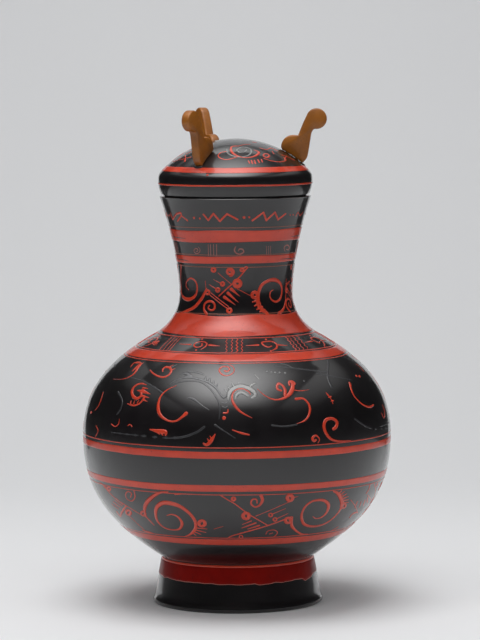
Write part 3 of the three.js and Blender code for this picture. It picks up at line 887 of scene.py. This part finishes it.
BELLY = [
    brush(1, (113.5, 379, 0.2), (122, 379.2, 0.3), (129, 377, 0.7), (134.5, 373, 1.5),
          (138.5, 367, 1.8), (143.5, 362.5, 0.3)),
    brush(1, (131, 366.5, 0.9), (134, 363), (139, 362.5, 1.2), (142, 364, 0.5)),
    brush(1, (150, 370, 0.5), (154, 374, 0.8), (161, 377), (167, 376, 1.1), (171, 372, 1.3),
          (170, 368, 1.3), (166, 367, 1.2), (163, 369, 1.1), (162.7, 371.5, 0.6)),
    brush(1, (133, 370.5, 1.2), (137.5, 366, 1.9), (141, 363.8, 0.6)), wedge(0.9, 0.3, (169, 367.2),
          (173.4, 364.8)),
    wedge(0.8, 0.3, (171.4, 370), (175, 368.6)),
    brush(1, (146.5, 385, 0.4), (141, 383.5, 0.9), (135, 386, 1.3), (132, 391, 1.6), (133, 396, 1.5),
          (137, 398.5, 1.5), (141, 395.5, 1.3), (140.5, 391, 1.2), (137.5, 390.5, 0.6)),
    *[wedge(wide, 0.3, a, b) for wide, a, b in ((2.2, (142, 391), (150, 394)), (1.0, (143, 388),
        (147.6, 388.6)), (1.2, (142, 396), (149, 397.6)), (0.8, (133.6, 403.6), (134.6, 400.8)),
        (0.8, (130.6, 403.4), (131, 400.6)), (0.8, (137.4, 402.6), (138.8, 400.4)), (0.9, (143, 399.6),
              (147, 401.4)))],
    brush(1, (144, 398, 1.2), (140, 403, 0.9), (134, 405.5, 0.8), (127.5, 403.8, 0.4)),
    brush(1, (103.3, 392, 0.3), (101.5, 398, 0.7), (99, 405, 0.6), (95, 410.5, 0.3)),
    dot(91, 412.5, 1.4),
    brush(0.5, (111.5, 424), (115, 426.5), (118.5, 424), (119.5, 419, 0.2)),
    brush(0.45, (128, 425.5), (130, 424.5), (132, 426.5)), brush(0.5, (96, 426), (98, 431),
          (95.5, 436.5)),
    brush(1, (150, 429.5, 0.5), (157, 431, 1.6), (165, 432, 2), (165.5, 435, 0.8)),
    wedge(0.8, 0.3, (157, 432), (159.6, 434.4)), wedge(0.8, 0.3, (161, 433), (163, 435.4)),
    brush(1, (176.5, 385.5, 0.3), (167, 390, 0.6), (161, 396, 0.9), (158.5, 403, 1.4),
          (158.5, 411, 1.6), (162, 417, 1.2), (169, 421, 0.8), (176, 421, 0.8), (182, 417, 1.1),
          (186, 413.5, 1.8)),
    brush(1, (224.8, 370.8, 1.1), (227, 371.5, 1), (229.5, 369.5, 0.9), (228, 367, 0.8),
          (223.5, 366.5, 0.9), (220, 368.5, 0.9), (219.5, 371.5, 0.8), (223, 375, 0.7),
          (228, 375.5, 0.6), (233, 373, 0.6), (234.2, 369, 0.5), (232, 366, 0.5), (228.5, 364.5, 0.3)),
    brush(0.7, (223.5, 413), (227.5, 412.5), (228, 409, 0.3)), dot(224, 418, 1.8),
    brush(1, (203.5, 443.5, 0.7), (206.5, 445, 1.2), (211, 441, 1.6), (215, 434.5, 0.5)),
    wedge(0.8, 0.3, (209, 441.5), (207.4, 438.6)), wedge(0.8, 0.3, (211.5, 439), (210, 436)),
    brush(0.6, (232.5, 430, 0.4), (238, 432), (241, 433, 0.9), (245, 434, 0.8), (249, 434.8)),
    brush(1, (250.5, 394.4, 0.3), (248.6, 391.6, 0.5), (243.2, 388.9, 0.6), (237.6, 389.2, 0.6),
          (233.4, 392.2, 0.7), (232, 398, 0.9), (233.6, 403.4, 1.2), (237.6, 409, 1.1),
          (242.4, 413, 0.8), (252, 418, 0.2)),
    brush(1, (257.5, 389, 0.3), (264, 395, 0.4), (272, 399, 0.6), (279, 399.5, 0.8), (286, 397, 1.3),
          (291, 392, 2), (293, 385, 1.8), (291, 382, 1.2)),
    brush(1, (289.5, 385), (289, 382), (292, 381.2), (295, 383.5), (293.5, 385, 0.5)),
    brush(1.2, (285, 395, 1.5), (285, 390, 1.4), (283, 386), (279, 383.5), (277, 386), (278, 389.5),
          (281.5, 390.5, 0.8)),
    brush(0.4, (294, 390), (301, 390.8), (309, 389.5, 0.15)),
    brush(1, (296, 399, 1.2), (303, 398.5, 0.9), (308, 403), (310, 409, 1.1), (308.5, 416, 0.9),
          (304, 421, 0.6), (297, 423.5, 0.2)),
    brush(0.6, (326, 392.5, 0.3), (328, 395, 0.9), (331, 399, 0.5), (333, 404, 0.3)),
    wedge(0.7, 0.3, (331, 396.6), (328.4, 397.6)), wedge(0.6, 0.3, (333.4, 400.6), (331, 401.4)),
    brush(1, (350, 383.5, 1.7), (351.5, 390, 1.2), (355, 397, 0.9), (362, 404, 0.8), (369, 407, 0.9),
          (373.5, 405, 0.9)),
    dot(356.5, 376, 1.3), dot(359.6, 376.3, 1.3), brush(0.4, (356, 364), (360, 367), (364, 371.5)),
    brush(1, (333.5, 429, 1.4), (336, 427, 1.5), (337, 422, 1.5), (332, 418.5, 1.3), (326, 420, 1.4),
          (324, 426, 1.6), (326, 433, 1.4), (331, 439, 1.1), (339, 441.2, 0.7), (351, 440.5, 0.2)),
    brush(1, (318, 443, 0.4), (319.5, 439, 0.5), (316, 435.5, 0.7), (312.5, 438, 1.2), (314, 441, 1.2),
          (316, 440, 0.8)),
    brush(0.5, (382.5, 405), (384.5, 411), (384, 418), (381.5, 413)),
]
BELLY_SILVER = [
    brush(2.6, (228.3, 399, 1.2), (229, 394, 2.2), (231.6, 390), (236, 387.2), (242, 386.2), (248, 388),
          (253, 391), (255.4, 395, 1.8), (252, 398, 1.2)),
    brush(1.7, (235.4, 399, 1), (236.6, 395), (240.6, 392.4), (244.6, 393.6), (248, 396, 1.2)),
    *[wedge(wide, 0.6, a, b) for wide, a, b in ((0.8, (227, 391.4), (225, 389.6)),
        (0.9, (229.6, 388.8), (227.6, 386.6)), (1.3, (233.6, 385.8), (231.8, 382.4)),
        (0.8, (239.4, 384.6), (238.6, 382.6)))],
    brush(1.2, (250.4, 386.6), (252.6, 384.4), (255.6, 383.4, 0.8)),
    *[dot(x, y, 1.1) for x, y in ((267, 371.5), (271.5, 372), (275, 372.5), (279.5, 372.5),
          (285, 373))],
    brush(0.6, (255, 375), (259, 379)),
]
BELLY_ASH = [
    brush(1, (170.5, 383.3, 0.5), (175.5, 380.5, 0.8), (181, 378.3), (186.7, 377.5, 1.1),
          (193.3, 377.8, 1.1), (199, 379, 1.1), (204.5, 380.6, 1.2), (210, 383.3, 1.2), (214.5, 386.7),
          (217.8, 390.5, 0.8), (220.5, 394.5, 0.8), (223.5, 397.5, 1.1), (226, 396, 0.8)),
    brush(1, (180.3, 375.5, 0.6), (183, 373.6, 1.1), (187, 373.6, 1.9), (190, 375.4, 1.6)),
    brush(0.9, (188, 371.6), (194, 371.8), (200, 373.2), (204, 374.6, 0.6)), brush(1.5, (186, 376.4),
          (191, 376.3)),
    *[brush(1, (x, y, wide), (x + 1, y - 2.7, wide * 0.8), (x + 1.7, y - 3.6, 0.3))
      for x, y, wide in ((205, 380, 1.2), (209, 381.6, 1.3), (212.8, 384.4, 1.1), (216.2, 387.4, 0.8))],
    brush(1, (187, 398.5, 0.4), (190, 398, 0.9), (194, 399.5, 1.2), (198, 402.5, 0.8),
          (203.5, 406.5, 0.5), (209, 410, 0.3)),
    *brushes(0.4, [(222, 402.4), (225, 403.4), (227.2, 402)], [(222.4, 406.4), (225, 407.5),
          (227.2, 406.2)]),
    wedge(0.8, 0.3, (172, 367), (177, 364.5)), brush(0.5, (281, 363.5), (287, 365), (293, 368)),
    dot(304, 381, 1),
]
BELLY_SMOKE = [
    brush(0.7, (169, 385.5, 0.3), (176, 383), (182.5, 381.6), (189, 381), (196, 381.3), (202, 382.8),
          (208.5, 387.3), (214, 393.5), (218.5, 402), (220, 410), (219, 419, 0.4)),
    brush(1, (204, 427), (195, 433), (175, 438), (135, 435), (111, 432, 0.3)),
    brush(0.9, (128, 376.5, 0.3), (145, 382), (163, 393)), brush(1, (215, 425), (235, 438, 0.4)),
    brush(1.2, (317, 373.5), (328, 375.5), (352, 380, 0.4)), brush(1.4, (328, 361), (327.5, 375),
          (331.5, 387)),
    brush(0.9, (355, 419), (370, 428), (388, 428)), brush(1, (118, 392), (122, 400), (121, 408),
          (117, 414)),
    brush(1.1, (276, 366), (300, 369), (326, 372)), brush(0.7, (272, 425.4), (285, 426.4),
          (297, 424.6)),
]

LOW_LEFT = [
    brush(0.5, (103.5, 486), (115, 498), (127, 506), (139, 513.5), (148, 518.5), (154, 525)),
    brush(1, (100, 482.5, 0.5), (105, 486.4, 0.9), (109.5, 491, 0.8)), eye(108.8, 488.6, 2.6),
    eye(143.2, 513.6, 3.2),
    eye(128.4, 512.6, 3.6), brush(1, (117, 512, 1), (119.6, 515.6, 1.6)),
    brush(0.5, (134, 491), (135, 497), (132, 501), (127, 499), (125.5, 494.5), (128, 491.5),
          (131.5, 493.5), (130.5, 497)),
    *brushes(0.5, [(113.5, 502), (120, 507)], [(115, 500), (122, 505.6)], [(112, 504), (118.5, 509)],
             [(116.4, 498.6), (123, 504.4)], [(129, 515.4), (144, 529.4)]),
    brush(0.9, (126, 506), (120.4, 516)), brush(1.1, (142.5, 530, 0.6), (146, 531.5), (150, 532.5),
          (155, 534, 0.3)),
]
LOW_SPIRAL_LEFT = [
    brush(1, (168, 492, 0.4), (159, 493), (150, 499, 1.6), (145, 506, 1.5), (145, 514), (149, 520, 0.6),
          (154, 525, 0.2)),
    brush(1, (167, 515.5, 0.3), (172, 514.5, 0.6), (178, 517, 0.9), (182, 523, 1.2), (180, 528.5),
          (174, 530, 0.8), (165, 528, 0.9), (158, 522, 1.1), (155.5, 514, 1.3), (157, 507, 1.5),
          (163, 503, 1.8), (171, 503.5, 1.9), (180, 506.5, 1.7), (189, 513, 1.4), (195, 521, 1.3),
          (195.5, 528, 1.3), (191, 534), (185, 536.5, 0.4)),
    eye(202, 523.5, 4.5), *brushes(0.7, [(197, 528), (207, 529, 0.3)], [(196, 530), (206, 532.5, 0.3)],
                                   [(195, 532), (201, 534.5, 0.3)], [(193.5, 533.5),
                                         (196, 535.5, 0.3)]),
    brush(0.45, (175, 494.3), (181, 494)), brush(0.25, (214, 529), (223, 526.5)),
]
LOW_CROSS = [
    brush(0.45, (220, 495), (228, 500), (235, 504), (247, 513), (255, 518), (267, 525)),
    eye(233.5, 499, 2.5), eye(246, 516, 4.5),
    brush(1, (261, 495.5, 1.1), (262.5, 500, 1.1), (260, 505, 0.9), (255, 507, 0.7), (251, 503.5, 0.6),
          (252.5, 499.5, 0.6), (256.5, 499.5, 0.5), (257, 503, 0.4)),
    eye(290, 498, 4.2), brush(0.5, (294, 497.4), (298, 496.5, 0.2)), brush(0.35, (291, 501),
          (256, 516)),
    ring(270.5, 515, 1.7, 0.6), brush(0.4, (272.4, 514), (285.5, 508.5, 0.2)),
    ring(275, 519.5, 1.7, 0.6), brush(0.4, (277, 518.6), (288, 513.5, 0.2)),
    wedge(0.6, 0.3, (251, 521), (242.5, 524.5)), wedge(0.8, 0.4, (255.5, 523), (242, 528)),
    wedge(0.8, 0.4, (259, 525.5), (248, 529)),
    brush(0.7, (228, 538, 0.4), (235, 535), (268, 525.5), (291, 517)), eye(288, 520.5, 4),
    brush(0.9, (292.5, 517, 0.5), (291.5, 525, 1.2), (295, 530), (301, 534), (307, 534.5)),
    brush(0.4, (266, 534), (268, 531), (274, 530), (277.5, 532.5), (275, 536), (272, 537.5)),
    brush(0.4, (269.5, 534), (272.5, 533)), ring(241, 537, 1.7, 0.5),
]
LOW_SPIRAL = [
    brush(1, (313, 516.5, 0.3), (316, 518.5, 0.5), (322, 517, 0.8), (327, 512, 1.2), (328.5, 505, 1.4),
          (325, 501, 1.2), (320, 500, 1.1), (312, 501.5, 0.9), (305, 507, 0.9), (301.5, 516),
          (304, 524, 1.2), (312, 526.5, 1.2), (322, 525), (331, 520, 0.9), (338, 513, 0.9),
          (341.8, 506.4, 1.6), (341.8, 501, 1.8), (339.8, 496, 1.6), (337, 492.8, 1.2),
          (333.6, 491.4, 0.6)),
    eye(343.4, 505.6, 3.6), *[wedge(0.7, 0.4, a, b) for a, b in (((339.5, 493), (341.8, 490.2)),
        ((341, 494.6), (344.4, 491.6)), ((342.2, 496.4), (346.6, 493.8)), ((343.2, 498.4),
              (348, 496.6)),
        ((343.8, 500.6), (348.4, 499.6)), ((344.4, 502.6), (348.2, 502.4)))],
]
LOW_RIGHT = [
    *brushes(0.4, [(350.8, 500), (357.5, 513)], [(367.5, 495), (371, 503.4)]),
    *brushes(0.6, [(355, 507), (357.4, 501.6)], [(359.4, 507.4), (361, 502)], [(363.4, 505),
             (365.2, 500)], [(367.2, 502), (367.4, 497.4)], [(331, 531), (338, 527)]),
    brush(1.2, (349.8, 517.4, 0.9), (352.4, 514), (356.4, 512.5)), brush(0.9, (369.8, 485.6),
          (369, 489), (366.6, 493)),
]

LID_SCROLL = [
    brush(0.9, (238.5, 146, 0.4), (232, 146.5), (231, 150), (234, 154), (241, 157, 0.6),
          (249, 157.5, 0.6), (256, 155.5), (259, 152), (254, 150, 0.3)),
    *brushes(0.5, [(260, 148), (266, 149.5), (271, 148), (277, 150.5)], [(252.5, 142), (256, 142.5)],
             [(238.5, 146), (245, 144.5, 0.3), (250, 144.5, 0.3)]),
]
LID_SCROLL_GREY = [
    brush(0.55, (227, 149), (228, 153.5), (238, 157), (248, 155.5), (251.5, 151.5), (249, 148),
          (242, 147), (237, 149.5), (239, 152), (244, 152), (246.5, 150)),
]
LID_FLAMES = [
    brush(0.8, (269, 156.5), (267, 157.5), (263.5, 156), (264.5, 154), (268, 154), (269.5, 156)),
    brush(0.45, (264, 158.5), (272, 161), (281, 161.8), (286, 160), (284, 157.5)),
    *brushes(0.6, [(248.5, 161), (249.5, 163)], [(251.5, 160.5), (252.5, 163.5)], [(254.5, 160.5),
             (255.5, 163.5)], [(258, 159.8), (259.5, 162.5)], [(261.5, 159.5), (262.5, 162)]),
    brush(0.5, (282, 155), (288, 157), (294, 160, 0.9)),
    *brushes(0.45, [(181, 160), (185, 158.5), (191, 157)], [(186, 154), (191, 151.5)]),
]
LID_LOOP = [
    dot(207.5, 175, 1), brush(0.5, (237, 157), (227, 159.5), (220, 158), (218.2, 155), (221, 152.5),
          (226, 151.5)),
]

BAND_STREAKS = brushes(0.6, [(173.5, 236.7), (179, 237.6), (185.5, 238.5, 0.2)],
                       [(291, 236.5, 0.2), (295, 236), (299, 235)], [(178, 259), (184, 260),
                             (189, 261, 0.2)],
                       [(280, 259.2, 0.2), (288, 258.6), (295, 257.8)])


FULL_BRUSH, FINE_BRUSH = 1.3, 1.12  # how much fuller the paint dried than the stroke's traced core


def flat_points(wall, reference, stroke, fullness):
    """A stroke moved from pixels to the wall's own flat coordinates, in millimetres."""
    points, closed = stroke
    made = []
    for x, y, half in points:
        angle, run = WALLS[wall].seen(x, y)
        made.append((angle * reference, run, half * PIXEL * fullness))
    return made, closed


def smooth(points, steps=4):
    """More points on a smooth curve through the given ones, with a rounded tip at each end."""
    if len(points) > 2:
        ends = [points[0], *points, points[-1]]
        line = []
        for p0, p1, p2, p3 in zip(ends, ends[1:], ends[2:], ends[3:]):
            for i in range(steps):
                t = i / steps
                line.append(tuple(
                    0.5 * (2 * b + (c - a) * t + (2 * a - 5 * b + 4 * c - d) * t * t
                           + (3 * b - 3 * c + d - a) * t**3)
                    for a, b, c, d in zip(p0, p1, p2, p3)))
        line.append(points[-1])
    else:
        line = [tuple(a + (b - a) * i / 3 for a, b in zip(*points)) for i in range(4)]
    return [*reversed(tip(line[0], line[1])), *line, *tip(line[-1], line[-2])]


def tip(end, before):
    """Points past the end of a stroke, on a half circle as wide as the stroke."""
    x, y, half = end
    away = Vector((x - before[0], y - before[1])).normalized() * half
    return [(x + away.x * s, y + away.y * s, half * math.sqrt(1 - s * s)) for s in (0.5, 0.8, 0.97)]


def laid(wall, reference, strokes, *turns, fullness=FULL_BRUSH):
    """Strokes on a wall, where the photograph shows them and again at further turns in degrees."""
    flat = [flat_points(wall, reference, stroke, fullness) for stroke in strokes]
    flat = [(points if closed else smooth(points), closed) for points, closed in flat]
    made = []
    for turn in (0, *turns):
        step = math.radians(turn) * reference
        made += [([(x + step, y, half) for x, y, half in points], closed) for points, closed in flat]
    return made


def front_angle(stroke, reference):
    """The middle of a stroke in degrees round the jar: 0 at the front, growing to the right."""
    xs = [x for x, _, _ in stroke[0]]
    return (math.degrees((min(xs) + max(xs)) / 2 / reference) + 90) % 360


def round_the_back(strokes, reference):
    """The front's scattered strokes again at a third and two thirds of a turn, where the photograph
    doesn't show the jar."""
    made = list(strokes)
    for turn, first, last in ((120, 85, 180), (240, 180, 275)):
        step = math.radians(turn) * reference
        for points, closed in strokes:
            moved = ([(x + step, y, half) for x, y, half in points], closed)
            if first < front_angle(moved, reference) < last:
                made.append(moved)
    return made


paint("neck_zigzags", "vessel", 78, laid("vessel", 78, NECK_ZIGZAGS)
      + laid("vessel", 78, NECK_DOTS, *range(80, 281, 40))
      + laid("vessel", 78, NECK_ZIGZAG, *range(80, 241, 40)), RED)
paint("neck_small_frieze", "vessel", 72, laid("vessel", 72, SMALL_HOOKS)
      + laid("vessel", 72, SMALL_SPIRAL, 148, 199, 250, 301)
      + laid("vessel", 72, SMALL_LINES, 105, 156, 207, 258, 309), WORN_RED, seed=2.0)
paint("neck_frieze", "vessel", 67, laid("vessel", 67, NECK_LEFT + NECK_NEXT_ROOT)
      + laid("vessel", 67, NECK_ROOT, 179, 266) + laid("vessel", 67, NECK_CROSS, 93, 180, 267)
      + laid("vessel", 67, NECK_SPIRAL, 87, 174), RED, seed=3.0)
paint("shoulder_frieze", "vessel", 104, laid("vessel", 104, SHOULDER_LEFT + SHOULDER_RIGHT)
      + laid("vessel", 104, SHOULDER_UNIT, *[42.6 + 45.4 * k for k in range(6)])
      + laid("vessel", 104, SHOULDER_WAVES, *[88 + 45.4 * k for k in range(5)]), RED, seed=4.0)
for index, (name, strokes, finish, depth) in enumerate((
        ("belly_scrolls", BELLY, RED, 0.0), ("belly_silver_scrolls", BELLY_SILVER, SILVER, 0.04),
        ("belly_ash_scrolls", BELLY_ASH, ASH, 0.06), ("belly_smoke_scrolls", BELLY_SMOKE, SMOKE, 0.1))):
    front = laid("vessel", 165, strokes, fullness=FINE_BRUSH)
    paint(name, "vessel", 165, round_the_back(front, 165), finish, seed=5.0 + index, thickness=PAINT - depth)
paint("low_frieze", "vessel", 148, laid("vessel", 148, LOW_LEFT + LOW_RIGHT)
      + laid("vessel", 148, LOW_SPIRAL_LEFT, 215) + laid("vessel", 148, LOW_CROSS, 72, 144, 216)
      + laid("vessel", 148, LOW_SPIRAL, 72, 216), RED, seed=8.0)
paint("lid_scroll", "lid", 45, laid("lid", 45, LID_SCROLL, 116, 236), RED, seed=9.0)
paint("lid_scroll_grey", "lid", 45, laid("lid", 45, LID_SCROLL_GREY, 116, 236), SILVER, seed=10.0,
      thickness=PAINT - 0.04)
paint("lid_flames", "lid", 68, laid("lid", 68, LID_FLAMES + LID_LOOP, 116, 236), RED, seed=11.0)
paint("band_streaks", "vessel", 72, laid("vessel", 72, BAND_STREAKS), SMOKE, seed=12.0,
      thickness=PAINT + 0.08)

PUTTY_RADIUS = KNOB_FOOT_RADIUS + 0.6
putty_run = WALLS["lid"].read(dome_height(PUTTY_RADIUS))[1]
putty = [([(math.radians(angle) * PUTTY_RADIUS + x, putty_run, 3.6 * math.sqrt(1 - (x / 6) ** 2))
           for x in (-5.6, -4.5, -3, -1.5, 0, 1.5, 3, 4.5, 5.6)], False) for angle in KNOB_ANGLES.values()]
paint("knob_putty", "lid", PUTTY_RADIUS, putty, BLACK, across=10, thickness=1.1)

for wall in WALLS.values():
    bpy.data.objects.remove(wall.object)


# Floor, light and camera

FLOOR_HALF_WIDTH, BACKDROP_HALF_WIDTH = 3.2, 0.8
FLOOR_FRONT, FLOOR_BACK, SWEEP_START, SWEEP_RADIUS, BACKDROP_TOP = -2.5, 0.95, 1.0, 1.5, 3.8


def studio_sweep():
    """A pale paper sweep: the floor runs back and curves up into the backdrop."""
    line = [(FLOOR_FRONT, 0.0), (FLOOR_BACK, 0.0)]
    line += [(SWEEP_START + math.sin(a) * SWEEP_RADIUS, SWEEP_RADIUS - math.cos(a) * SWEEP_RADIUS)
             for a in [math.pi / 2 * i / 24 for i in range(25)]]
    line.append((SWEEP_START + SWEEP_RADIUS, BACKDROP_TOP))
    halves = [FLOOR_HALF_WIDTH, FLOOR_HALF_WIDTH, *[BACKDROP_HALF_WIDTH] * (len(line) - 2)]
    mesh = bpy.data.meshes.new("paper_sweep")
    mesh.from_pydata([(x * half, y, z) for (y, z), half in zip(line, halves) for x in (-1, 1)], [],
                     [(2 * i, 2 * i + 1, 2 * i + 3, 2 * i + 2) for i in range(len(line) - 1)])
    for polygon in mesh.polygons:
        polygon.use_smooth = True
    made = bpy.data.objects.new("paper_sweep", mesh)
    bpy.context.collection.objects.link(made)
    paper = bpy.data.materials.new("pale_paper")
    paper.use_nodes = True
    paper.node_tree.nodes["Principled BSDF"].inputs["Base Color"].default_value = (0.78, 0.785, 0.795, 1)
    paper.node_tree.nodes["Principled BSDF"].inputs["Roughness"].default_value = 0.9
    mesh.materials.append(paper)


def softbox(name, location, width, depth, strength, softness):
    """A glowing panel with soft edges that only reflections see."""
    mesh = bpy.data.meshes.new(name)
    mesh.from_pydata([(-1, -1, 0), (1, -1, 0), (1, 1, 0), (-1, 1, 0)], [], [(0, 3, 2, 1)])
    made = bpy.data.objects.new(name, mesh)
    made.location = location
    made.scale = (width / 2, depth / 2, 1)
    bpy.context.collection.objects.link(made)
    glow = bpy.data.materials.new(name)
    glow.use_nodes = True
    glow.node_tree.nodes.clear()
    t = Tree(glow.node_tree)
    place = t.split(t.add("ShaderNodeTexCoord").outputs["Object"])
    across = t.math("SUBTRACT", 1.0, t.math("MULTIPLY", place["X"], place["X"]))
    length = t.math("SUBTRACT", 1.0, t.math("MULTIPLY", place["Y"], place["Y"]))
    fade = t.math("POWER", t.math("MAXIMUM", t.math("MULTIPLY", across, length), 0.0), softness)
    light = t.add("ShaderNodeEmission", Strength=t.math("MULTIPLY", fade, strength))
    t.add("ShaderNodeOutputMaterial", Surface=light.outputs[0])
    mesh.materials.append(glow)
    made.visible_camera = False
    made.visible_diffuse = False
    made.visible_shadow = False


def lamp(name, location, target, size, power, size_y=None):
    """A large lamp that lights surfaces but isn't seen in reflections."""
    data = bpy.data.lights.new(name, "AREA")
    data.shape = "RECTANGLE"
    data.size = size
    data.size_y = size_y or size
    data.energy = power
    made = bpy.data.objects.new(name, data)
    bpy.context.collection.objects.link(made)
    made.location = location
    made.rotation_euler = (Vector(target) - Vector(location)).to_track_quat("-Z", "Y").to_euler()
    made.visible_glossy = False


studio_sweep()
softbox("overhead_glow", (-0.25, -0.8, 2.45), 3.8, 4.0, 5.4, 2.4)
softbox("rear_glow", (-0.2, 0.9, 2.6), 3.4, 3.2, 2.4, 2.0)
softbox("ceiling_glow", (0, 0.3, 2.7), 7.4, 6.4, 1.1, 1.2)
lamp("overhead_lamp", (-0.15, -0.25, 2.3), (0, 0, 0.2), 1.3, 29)
lamp("front_floor_lamp", (0, -2.3, 2.2), (0, -1.9, 0), 1.4, 16)
lamp("left_fill", (-2.4, -1.4, 1.2), (0, 0, 0.3), 1.2, 10)
lamp("right_fill", (2.4, -1.2, 1.2), (0, 0, 0.3), 1.2, 8)
lamp("backdrop_lamp", (0, 0.9, 2.9), (0, 2.5, 0.9), 1.8, 13)

world = bpy.data.worlds.new("dark_room")
bpy.context.scene.world = world
world.use_nodes = True
room = Tree(world.node_tree)
reflected = room.add("ShaderNodeLightPath").outputs["Is Glossy Ray"]
background = world.node_tree.nodes["Background"]
room.set(background, "Color", (0.97, 0.98, 1.0, 1.0))
room.set(background, "Strength", room.math("SUBTRACT", 0.22, room.math("MULTIPLY", reflected, 0.205)))

camera_data = bpy.data.cameras.new("camera")
camera_data.sensor_width = 36
camera_data.lens = FOCAL_PIXELS / PICTURE_HEIGHT * 36
camera = bpy.data.objects.new("camera", camera_data)
bpy.context.collection.objects.link(camera)
camera.matrix_world = Matrix.Translation(CAMERA_PLACE) @ CAMERA_TURN.to_4x4()
bpy.context.scene.camera = camera
bpy.context.scene.view_settings.view_transform = "Standard"
